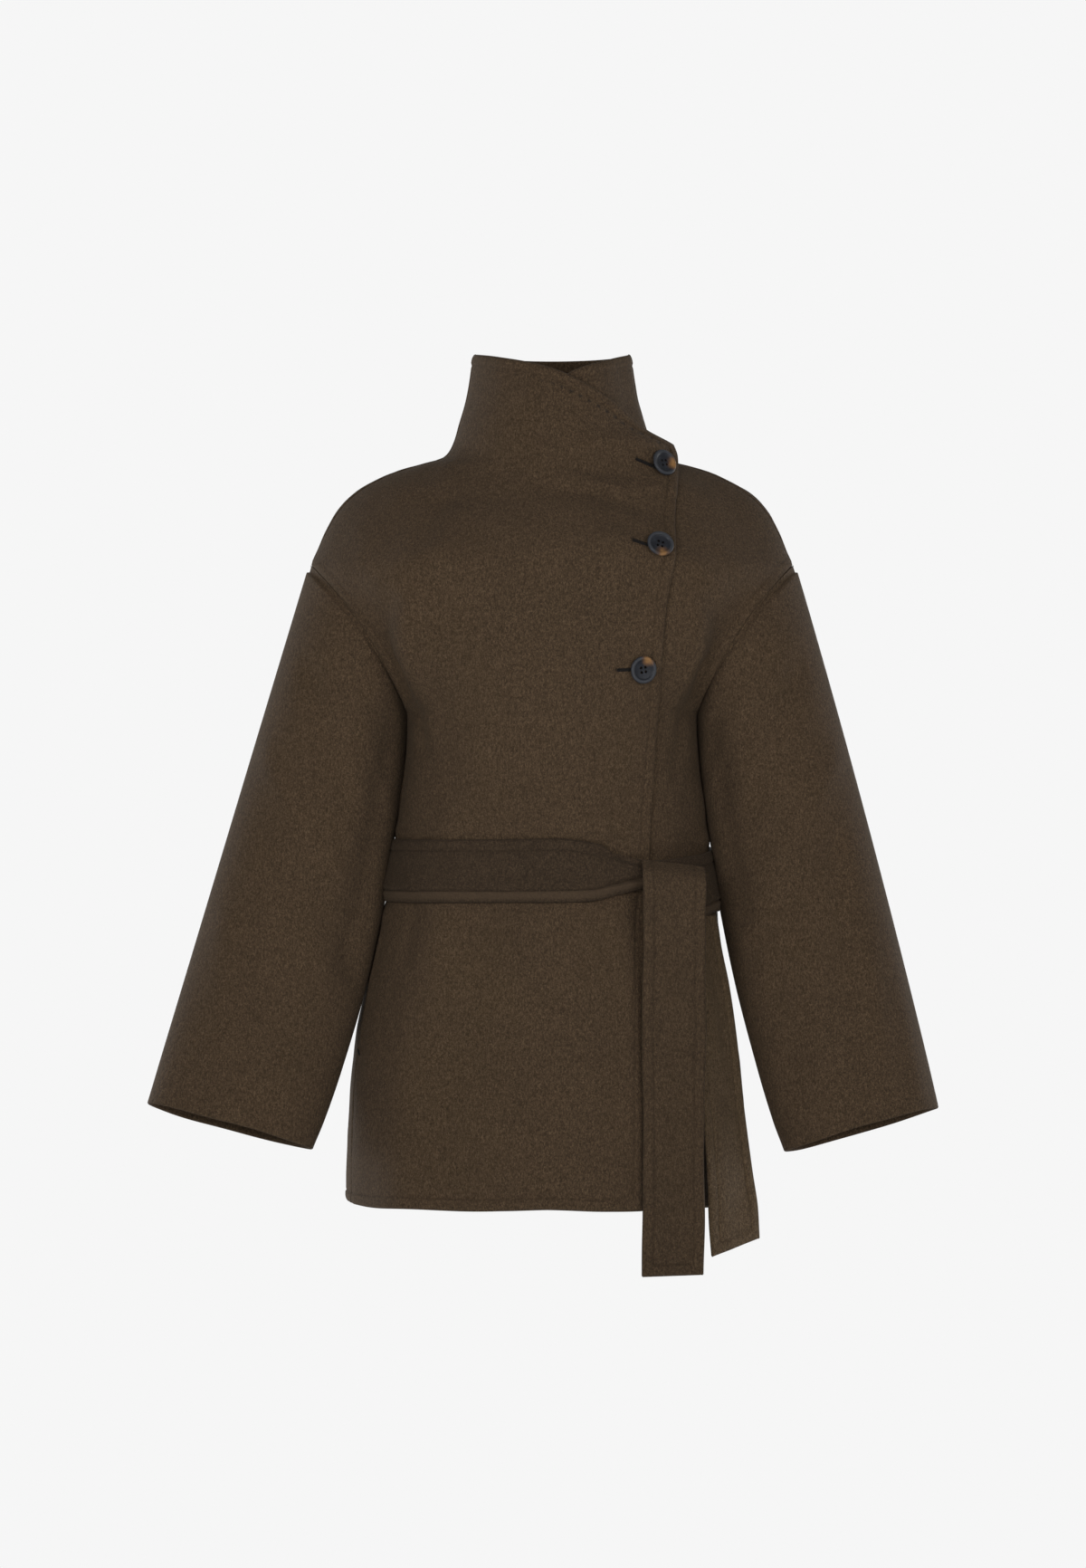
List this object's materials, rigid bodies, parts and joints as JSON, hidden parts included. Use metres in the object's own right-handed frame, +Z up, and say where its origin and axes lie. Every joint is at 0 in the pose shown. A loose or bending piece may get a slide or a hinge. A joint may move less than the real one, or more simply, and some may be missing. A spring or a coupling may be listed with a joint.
{
  "type": "short wool wrap coat",
  "caption": "Short wrap coat in its worn, hollow form, with a funnel collar, full sleeves, side-front buttons and a tied belt.",
  "frame": {"origin": "middle of the neck base at shoulder height, where the wearer's neck and shoulders carry the coat", "axes": "+Z up along the coat, -Y to the front, +X to the wearer's left side"},
  "size_m": [0.7345, 0.2634, 0.857],
  "materials": {
    "coat_wool": "dark olive brown double-faced wool with a short brushed nap",
    "belt_wool": "the coat's double-faced wool with the edges turned in",
    "horn": "polished dark horn with an amber streak"
  },
  "bodies": {
    "root": {"front_over": "coat_wool", "front_under": "coat_wool", "back": "coat_wool", "collar_back": "coat_wool", "sleeve_right": "coat_wool", "sleeve_left": "coat_wool", "belt_waist": "belt_wool", "belt_knot": "belt_wool", "belt_tail_front": "belt_wool", "belt_tail_side": "belt_wool", "button_top": "horn", "button_middle": "horn", "button_lower": "horn"}
  },
  "joints": []
}
